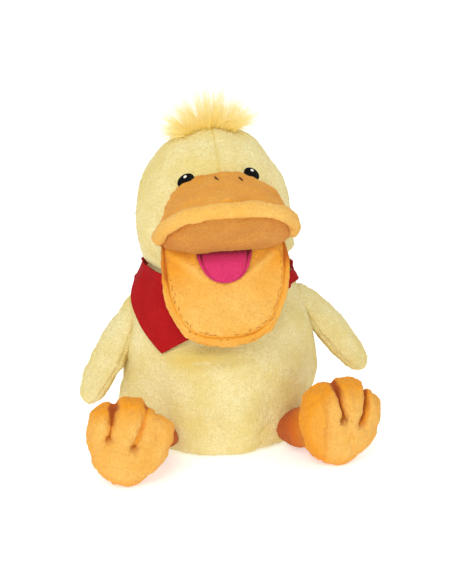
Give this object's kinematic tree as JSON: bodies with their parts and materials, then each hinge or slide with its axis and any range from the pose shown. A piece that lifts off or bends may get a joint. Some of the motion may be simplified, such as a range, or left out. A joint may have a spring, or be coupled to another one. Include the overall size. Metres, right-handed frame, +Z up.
{
  "type": "moving mouth hand puppet",
  "caption": "Sitting plush duck hand puppet with an open moving bill, padded wings, legs and feet, a neckerchief and a fluffy crest.",
  "frame": {"origin": "middle of the outline that the whole puppet covers, on the surface it sits on", "axes": "+Z up from the surface to the crest, -Y the way the duck's chest faces, +X to the duck's own left"},
  "size_m": [0.2706, 0.2217, 0.3158],
  "materials": {
    "plush_yellow": "short pile plush, pale yellow",
    "plush_orange": "short pile plush, orange",
    "plush_light_orange": "short pile plush, light orange",
    "palate_cloth": "brushed cloth, brownish orange",
    "tongue_felt": "felt, magenta",
    "bandana_felt": "woven felt cloth, red",
    "crest_pile": "long pile fibre, golden",
    "eye_thread": "satin stitched thread, black",
    "nostril_thread": "stitched thread, brown",
    "fibrefill": "loose polyester filling, white",
    "lining_cloth": "thin woven lining, yellow",
    "mouth_board": "stiff felted board, tan"
  },
  "bodies": {
    "torso": {"torso_front_panel": "plush_yellow", "torso_left_panel": "plush_yellow", "torso_back_panel": "plush_yellow", "torso_right_panel": "plush_yellow", "torso_front_padding": "fibrefill", "torso_back_padding": "fibrefill", "hand_sleeve_lining": "lining_cloth", "hand_opening_hem": "plush_yellow", "tail_top_panel": "plush_yellow", "tail_bottom_panel": "plush_yellow", "tail_filling": "fibrefill", "bandana": "bandana_felt", "bandana_knot": "bandana_felt", "bandana_tie_end": "bandana_felt"},
    "neck": {"neck_turn_ring": "plush_yellow"},
    "neck_tilt": {"neck_tilt_ring": "plush_yellow"},
    "head": {"head_neck_ring": "plush_yellow", "head_left_panel": "plush_yellow", "head_back_panel": "plush_yellow", "head_right_panel": "plush_yellow", "head_filling": "fibrefill", "eye_left": "eye_thread", "eye_right": "eye_thread", "crest_patch": "plush_yellow", "crest_tuft": "crest_pile"},
    "upper_bill": {"upper_bill_top_panel": "plush_orange", "upper_bill_lip": "plush_light_orange", "upper_palate_panel": "palate_cloth", "upper_bill_filling": "fibrefill", "upper_palate_filling": "fibrefill", "upper_mouth_board": "mouth_board", "finger_pocket": "lining_cloth", "nostril_stitch_left": "nostril_thread", "nostril_stitch_right": "nostril_thread"},
    "lower_bill": {"lower_bill_inner_panel": "plush_light_orange", "lower_bill_outer_panel": "plush_orange", "lower_bill_filling": "fibrefill", "lower_mouth_board": "mouth_board", "thumb_pocket": "lining_cloth", "tongue": "tongue_felt"},
    "wing_left": {"wing_left_outer_panel": "plush_yellow", "wing_left_inner_panel": "plush_yellow", "wing_left_filling": "fibrefill"},
    "leg_left": {"leg_left_sleeve": "plush_orange", "leg_left_filling": "fibrefill"},
    "foot_left": {"foot_left_top_panel": "plush_orange", "foot_left_sole_panel": "plush_light_orange", "foot_left_filling": "fibrefill"},
    "wing_right": {"wing_right_outer_panel": "plush_yellow", "wing_right_inner_panel": "plush_yellow", "wing_right_filling": "fibrefill"},
    "leg_right": {"leg_right_sleeve": "plush_orange", "leg_right_filling": "fibrefill"},
    "foot_right": {"foot_right_top_panel": "plush_orange", "foot_right_sole_panel": "plush_light_orange", "foot_right_filling": "fibrefill"}
  },
  "joints": [
    {"name": "neck_turn", "type": "hinge", "parent": "torso", "child": "neck", "pos_m": [-0.0083, 0.0112, 0.158], "axis": [0, 0, 1], "range_deg": [-35, 35]},
    {"name": "head_tilt", "type": "hinge", "parent": "neck", "child": "neck_tilt", "pos_m": [-0.0083, 0.0112, 0.158], "axis": [0, 1, 0], "range_deg": [-10, 10]},
    {"name": "head_nod", "type": "hinge", "parent": "neck_tilt", "child": "head", "pos_m": [-0.0083, 0.0112, 0.158], "axis": [1, 0, 0], "range_deg": [-12, 3]},
    {"name": "upper_bill_lift", "type": "hinge", "parent": "head", "child": "upper_bill", "pos_m": [-0.01409, -0.04853, 0.18898], "axis": [0.9963, -0.0784, 0.0349], "range_deg": [-3, 10]},
    {"name": "lower_bill_drop", "type": "hinge", "parent": "head", "child": "lower_bill", "pos_m": [-0.01409, -0.04853, 0.18898], "axis": [-0.9963, 0.0784, -0.0349], "range_deg": [-2, 35]},
    {"name": "wing_left_flap", "type": "hinge", "parent": "torso", "child": "wing_left", "pos_m": [0.0712, 0.0152, 0.121], "axis": [0, -1, 0], "range_deg": [-2, 60]},
    {"name": "wing_right_flap", "type": "hinge", "parent": "torso", "child": "wing_right", "pos_m": [-0.0833, 0.0152, 0.12], "axis": [0, 1, 0], "range_deg": [-2, 60]},
    {"name": "leg_left_swing", "type": "hinge", "parent": "torso", "child": "leg_left", "pos_m": [0.0437, -0.0418, 0.02], "axis": [-1, 0, 0], "range_deg": [-30, 15]},
    {"name": "leg_right_swing", "type": "hinge", "parent": "torso", "child": "leg_right", "pos_m": [-0.0623, -0.0408, 0.02], "axis": [-1, 0, 0], "range_deg": [-30, 15]},
    {"name": "foot_left_flex", "type": "hinge", "parent": "leg_left", "child": "foot_left", "pos_m": [0.0737, -0.0668, 0.027], "axis": [-1, 0, 0], "range_deg": [-12, 12]},
    {"name": "foot_right_flex", "type": "hinge", "parent": "leg_right", "child": "foot_right", "pos_m": [-0.0903, -0.0748, 0.027], "axis": [-1, 0, 0], "range_deg": [-12, 12]}
  ]
}
